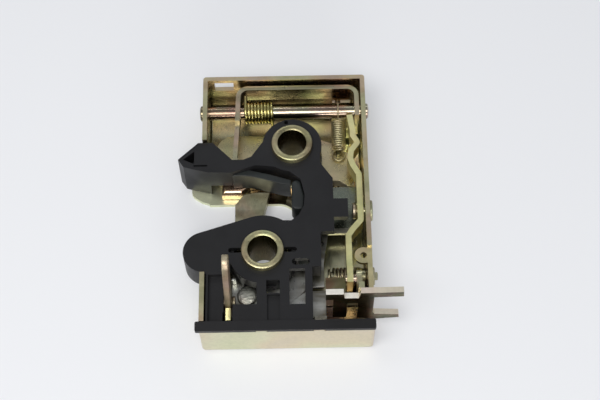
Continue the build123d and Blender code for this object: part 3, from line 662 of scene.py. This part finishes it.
# %% Base of the case
base_top = 1.6
front_shade = -9.5
mouth_start, lip_start, mouth_end = 10, 15, 31.5
lip_right, mouth_right = -5, 16

for cut in (front_shade, mouth_end):
    split(housing, (0, cut, 0), (0, 1, 0), lambda c: c.z < base_top)
split(housing, (lip_right, 0, 0), (1, 0, 0), lambda c: c.z < base_top and mouth_start < c.y < mouth_end)


def on_base(c, n):
    return c.z < base_top and n.z > faces_up


paint(housing, floor_zinc, lambda c, n: on_base(c, n) and c.y > front_shade)
paint(housing, painted_highlight_mouth_edge, lambda c, n: on_base(c, n) and c.x < lip_right and lip_start < c.y < mouth_end)
paint(housing, painted_shade_zinc, lambda c, n: (
    on_base(c, n) and lip_right < c.x < mouth_right and mouth_start < c.y < mouth_end))
paint(housing, painted_shade_zinc, lambda c, n: on_base(c, n) and near_face + 2 < c.y < front_shade)
paint(housing, painted_shade_zinc, lambda c, n: c.y < near_face + 2.2 and n.y > 0.5)
paint(housing, painted_highlight_mouth_edge, lambda c, n: (
    c.x < mouth_right and mouth_start < c.y < mouth_end + 0.5 and c.z < base_top + 0.1 and n.z < 0.9
    and n.y < 0.3))

# %% [markdown]
# Two small places of the case stand out: the eyelet on the right wall, which shines like gold, and the step in the rim
# behind it, which is a cut edge. The back plate is in the open only right of the mouth, and gets a darker grey there
# as painted shade, so it is cut along that part first.

# %% Eyelet, rim step and back plate
eyelet_left, eyelet_near, eyelet_far, eyelet_low = 28.8, -5.5, 0.2, 14
step_left, step_near, step_far, step_low = 32, 0, 1.6, 15
paint(housing, gold_zinc, lambda c, n: c.x > eyelet_left and eyelet_near < c.y < eyelet_far and c.z > eyelet_low)
paint(housing, wall_edge, lambda c, n: (
    c.x > step_left and step_near < c.y < step_far and c.z > step_low and n.y < -0.5))

back_plate = made["back_plate"]
open_from_x, open_from_y = 16, 12
split(back_plate, (open_from_x, 0, 0), (1, 0, 0), lambda c: True)
split(back_plate, (0, open_from_y, 0), (0, 1, 0), lambda c: c.x > open_from_x)
paint(back_plate, painted_shade_plate, lambda c, n: c.x > open_from_x and c.y > open_from_y)

# %% [markdown]
# The outside lever has the most finishes. Its prongs stick out into the light and get a pale painted light, its
# flange, which looks at the dark near wall, and the shelf behind it get a brown painted shade, its web gets a near
# black painted shade, and the tops of its T shape get an almost white painted highlight. The cut edge of the pawl's
# right arm gets the same painted highlight, the inside of the bail's web the dark painted shade of the case, and the
# foot of the lock lever and two more faces of the bail are picked out the same way.

# %% Levers, pawl and bail
outside_lever = made["outside_lever"]
release_bail = made["release_bail"]
flange_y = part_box("outside_lever")[0][1] / mm
prongs_start, flange_right, shelf_low, tee_low = 33.5, 29, 12, 24
web_left, web_right, web_top = 26.2, 32, 20.7
arm_left, arm_far = 14, 34
foot_far, foot_top = -18, 16
bail_web_near, bail_leg_right, bail_step_near, bail_step_far = 55, -7, 45, 49

paint(outside_lever, painted_light_prong, lambda c, n: c.x > prongs_start)
paint(outside_lever, painted_shade_brown, lambda c, n: (
    c.x < flange_right and (n.y < -0.6 or c.y > flange_y + 1.8 and c.z > shelf_low and n.z > 0.6)))
paint(outside_lever, painted_shadow_zinc, lambda c, n: web_left < c.x < web_right and c.z < web_top and n.y < -0.6)
paint(outside_lever, painted_highlight_edge, lambda c, n: (
    c.x < flange_right + 1 and c.y < flange_y + 2.1 and c.z > tee_low and n.z > 0.3))
paint(made["pawl"], painted_highlight_edge, lambda c, n: c.x > arm_left and c.y < arm_far and n.z < 0.75 and n.y < -0.2)
paint(made["lock_lever"], link_zinc, lambda c, n: c.y < foot_far and c.z < foot_top)
paint(release_bail, painted_shade_zinc, lambda c, n: c.y > bail_web_near and n.y < -0.5)
paint(release_bail, lock_zinc, lambda c, n: (
    c.x < bail_leg_right and bail_step_near < c.y < bail_step_far and n.y < -0.3))

# %% [markdown]
# ## Turned parts
# A bush, a shaft or a rivet comes off a lathe, so its shape is one profile swung round an axis. A ready cylinder
# would have neither a chamfer nor a head. So a circle is added, and its edge is extruded and scaled step by step
# along the profile, as a turner would cut it. The profile is a list of radius and height in mm.

# %% Turning helper
def turned(name, profile, centre, finish, tube=False, lies_along_x=False, points=96):
    bpy.ops.object.select_all(action="DESELECT")
    (radius, height), steps = profile[0], profile[1:]
    bpy.ops.mesh.primitive_circle_add(vertices=points, radius=radius * mm, location=(0, 0, height * mm),
                                      fill_type="NOTHING" if tube else "NGON")
    piece = bpy.context.object
    piece.name = name
    bpy.ops.object.mode_set(mode="EDIT")
    bpy.ops.mesh.select_all(action="SELECT")
    for next_radius, next_height in steps:
        rise, growth = (next_height - height) * mm, next_radius / radius
        bpy.ops.mesh.extrude_region_move(TRANSFORM_OT_translate={"value": (0, 0, rise)})
        bpy.ops.transform.resize(value=(growth, growth, 1), center_override=(0, 0, 0))
        radius, height = next_radius, next_height
    bpy.ops.mesh.select_all(action="SELECT")
    bpy.ops.mesh.remove_doubles(threshold=same_point)
    bpy.ops.mesh.normals_make_consistent(inside=False)
    bpy.ops.object.mode_set(mode="OBJECT")
    bpy.ops.object.transform_apply(location=True, rotation=True, scale=True)
    if lies_along_x:
        piece.rotation_euler = (0, math.radians(90), 0)
        bpy.ops.object.transform_apply(location=True, rotation=True, scale=True)
    piece.location = [value * mm for value in centre]
    bpy.ops.object.transform_apply(location=True, rotation=True, scale=True)
    bpy.ops.object.shade_smooth_by_angle(angle=math.radians(35))
    piece.data.materials.append(finish)
    return piece


# %% [markdown]
# The two bushes are steel tubes that the fixing bolts pass through. Each has a narrower spigot that stands in the
# base, a chamfered rim and a bore that stays dark. The profile runs up the outside, over the rim and down the bore,
# so that the wall is one closed ring. The outer radius and the height are read from the solid.

# %% Bushes
bore, spigot, sheet = 4.5, 5.5, 1.5
for node in ("lower_bush", "upper_bush"):
    low, high = [Vector(corner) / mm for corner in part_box(node)]
    centre = (low + high) / 2
    outer, top = (high.x - low.x) / 2, high.z
    outside = [(spigot, 0), (spigot, sheet), (outer, sheet), (outer, top - 0.45), (outer - 0.12, top - 0.16)]
    rim = [(outer - 0.45, top), (bore + 0.75, top), (bore + 0.25, top - 0.25), (bore, top - 0.9)]
    piece = turned(node + "_turned", outside + rim + [(bore, 0), (spigot, 0)], (centre.x, centre.y, 0), bush_steel,
                   tube=True)
    paint(piece, bore_steel,
          lambda c, n: math.hypot(c.x - centre.x, c.y - centre.y) < bore + 0.2 and c.z < top - 0.2)
    stand_for(piece, node)

# %% [markdown]
# The cross shaft is headed at both ends like a long rivet. The heads were struck cold, so they are slightly domed and
# have a shallow dimple in the middle. It is turned upright like the bushes and then laid along X. The extra ring at
# x = -6 lets its left end be brown.

# %% Cross shaft
low, high = [Vector(corner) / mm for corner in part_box("cross_shaft")]
head = (high.z - low.z) / 2
shank = head - 0.3
brown_up_to = -6.0

left_head = [(0.6, low.x + 0.25), (1.0, low.x), (head - 0.5, low.x + 0.05), (head, low.x + 0.4), (head, left_face)]
middle = [(shank, left_face), (shank, brown_up_to), (shank, right_face)]
right_head = [(head, right_face), (head, high.x - 0.4), (head - 0.5, high.x - 0.05), (1.0, high.x),
              (0.6, high.x - 0.25)]
shaft = turned("cross_shaft_turned", left_head + middle + right_head,
               (0, (low.y + high.y) / 2, (low.z + high.z) / 2), bright_steel, lies_along_x=True, points=64)
paint(shaft, shaft_brown, lambda c, n: c.x < brown_up_to)
stand_for(shaft, "cross_shaft")

# %% [markdown]
# The rivet of the lock slide has a low, wide head with the grainy skin that a cold heading tool leaves. Its dome is
# part of the same profile, worked out from an angle that goes from the rim almost to the middle.

# %% Slide rivet
low, high = [Vector(corner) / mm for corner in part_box("slide_rivet")]
centre = (low + high) / 2
head, shank = (high.x - low.x) / 2, 1.5
seat = high.z - 1.8
rim_height, dome_height = 0.5, 0.75

angles = [math.radians(step) for step in range(0, 85, 6)]
dome = [(head * math.cos(angle), seat + rim_height + dome_height * math.sin(angle)) for angle in angles]
rivet = turned("slide_rivet_headed", [(shank, low.z), (shank, seat), (head, seat)] + dome,
               (centre.x, centre.y, 0), cast_rivet, points=48)
stand_for(rivet, "slide_rivet")

# %% [markdown]
# ## Springs
# A spring is one length of wire. It could be built of a screw modifier and loose hooks, but the joints would show. So
# it is drawn as one curve through every coil and hook, the curve is given the thickness of the wire, and it is then
# turned into a mesh.

# %% Wire helper
def wound(name, points, thickness, node, finish):
    bpy.ops.object.select_all(action="DESELECT")
    bpy.ops.curve.primitive_nurbs_path_add(location=(0, 0, 0))
    piece = bpy.context.object
    piece.name = name
    piece.data.splines.clear()
    line = piece.data.splines.new("POLY")
    line.points.add(len(points) - 1)
    for spot, place in zip(line.points, points):
        spot.co = (*[value * mm for value in place], 1)
    piece.data.dimensions = "3D"
    piece.data.bevel_depth = thickness / 2 * mm
    piece.data.bevel_resolution = 2
    piece.data.use_fill_caps = True
    bpy.ops.object.convert(target="MESH")
    bpy.ops.object.mode_set(mode="EDIT")
    bpy.ops.mesh.select_all(action="SELECT")
    bpy.ops.mesh.remove_doubles(threshold=same_point)
    bpy.ops.mesh.normals_make_consistent(inside=False)
    bpy.ops.object.mode_set(mode="OBJECT")
    bpy.ops.object.shade_smooth_by_angle(angle=math.radians(50))
    piece.data.materials.clear()
    piece.data.materials.append(finish)
    stand_for(piece, node)


# %% [markdown]
# The bail spring sits on the cross shaft. One leg presses the bail towards the far wall, and the other stands on the
# base. A coil round an axis along X is a sine and a cosine with a steady step sideways, and the lever spring below
# uses the same helper.

# %% Bail spring
def coil_along_x(start_x, axis_y, axis_z, radius, pitch, turns, phase, steps=28):
    places = []
    for step in range(int(turns * steps) + 1):
        turn = step / steps
        angle = math.radians(phase) + turn * math.tau
        places.append((start_x + pitch * turn, axis_y + radius * math.sin(angle), axis_z - radius * math.cos(angle)))
    return places


bail_coil = coil_along_x(start_x=-5.6, axis_y=53.4, axis_z=12.0, radius=3.4, pitch=1.09, turns=8.25, phase=180)
leg_on_bail = [(-5.6, 57.8, 15.4), (-5.6, 55.6, 15.4)]
leg_on_base = [(3.39, 50.0, 8.0), (3.39, 50.0, 1.9)]
wound("bail_spring_wound", leg_on_bail + bail_coil + leg_on_base, 1.05, "bail_spring", spring_steel)

# %% [markdown]
# The lever spring is a short torsion spring round the pivot of the outside lever. One leg stands up against the lever
# and the other lies on the base. Its wire gets the darker, duller finish of the pins as painted shade, because it lies
# deep in the case.

# %% Lever spring
lever_coil = coil_along_x(start_x=21.95, axis_y=-4.0, axis_z=4.9, radius=2.55, pitch=1.15, turns=5.25, phase=270)
leg_on_lever = [(21.95, -6.55, 11.7), (21.95, -6.55, 7.5)]
leg_on_base = [(27.99, -2.0, 2.35), (27.99, 1.4, 2.35)]
wound("outside_lever_spring_wound", leg_on_lever + lever_coil + leg_on_base, 0.9, "outside_lever_spring", dull_pin)

# %% [markdown]
# The pawl spring is an extension spring: close coils, a hook that goes over the shaft into the tab of the base, and
# an end ring that lies round the pin of the pawl. A hook is bent over a former and has no corners, so its points are
# eased: each corner is cut off twice.

# %% Corner easing
def eased(points, rounds=2):
    for _ in range(rounds):
        cut = [points[0]]
        for first, second in zip(points, points[1:]):
            first, second = Vector(first), Vector(second)
            cut += [tuple(first.lerp(second, 0.25)), tuple(first.lerp(second, 0.75))]
        points = cut + [points[-1]]
    return points


# %% [markdown]
# The coils run along Y from the hook to the ring, in steps of a 24th of a turn. The real spring has a few more coils,
# but at the size of the picture they would melt together. Two points bring the wire down from the last coil to the
# ring, which lies flat.

# %% Pawl spring
spring_x, coil_radius, coil_z = 25.4, 2.1, 10.2
coil_low_y, coil_high_y, coil_turns = 40.1, 50.4, 12
turn_steps, extra_steps = 24, 10
ring_y, ring_z, ring_radius = 39.65, 6.6, 2.07

hook = eased([(spring_x, 57.5, 11.8), (spring_x, 57.5, 12.95), (spring_x, 56.4, 13.1), (spring_x, 55.1, 14.8),
              (spring_x, 51.4, 14.8), (spring_x, coil_high_y, coil_z + coil_radius)])
all_steps = coil_turns * turn_steps + extra_steps
close_coils = []
for step in range(1, all_steps):
    angle = step / turn_steps * math.tau
    close_coils.append((spring_x + coil_radius * math.sin(angle),
                        coil_high_y - (coil_high_y - coil_low_y) * step / all_steps,
                        coil_z + coil_radius * math.cos(angle)))
drop = [(spring_x + 1.25, coil_low_y + 0.5, 7.7), (spring_x + 1.3, coil_low_y + 1.0, 7.0)]
angles = [math.radians(step) for step in range(60, 391, 11)]
end_ring = [(spring_x + ring_radius * math.cos(angle), ring_y + ring_radius * math.sin(angle), ring_z)
            for angle in angles]
wound("pawl_spring_wound", hook + close_coils + drop + end_ring, 0.5, "pawl_spring", wire_zinc)
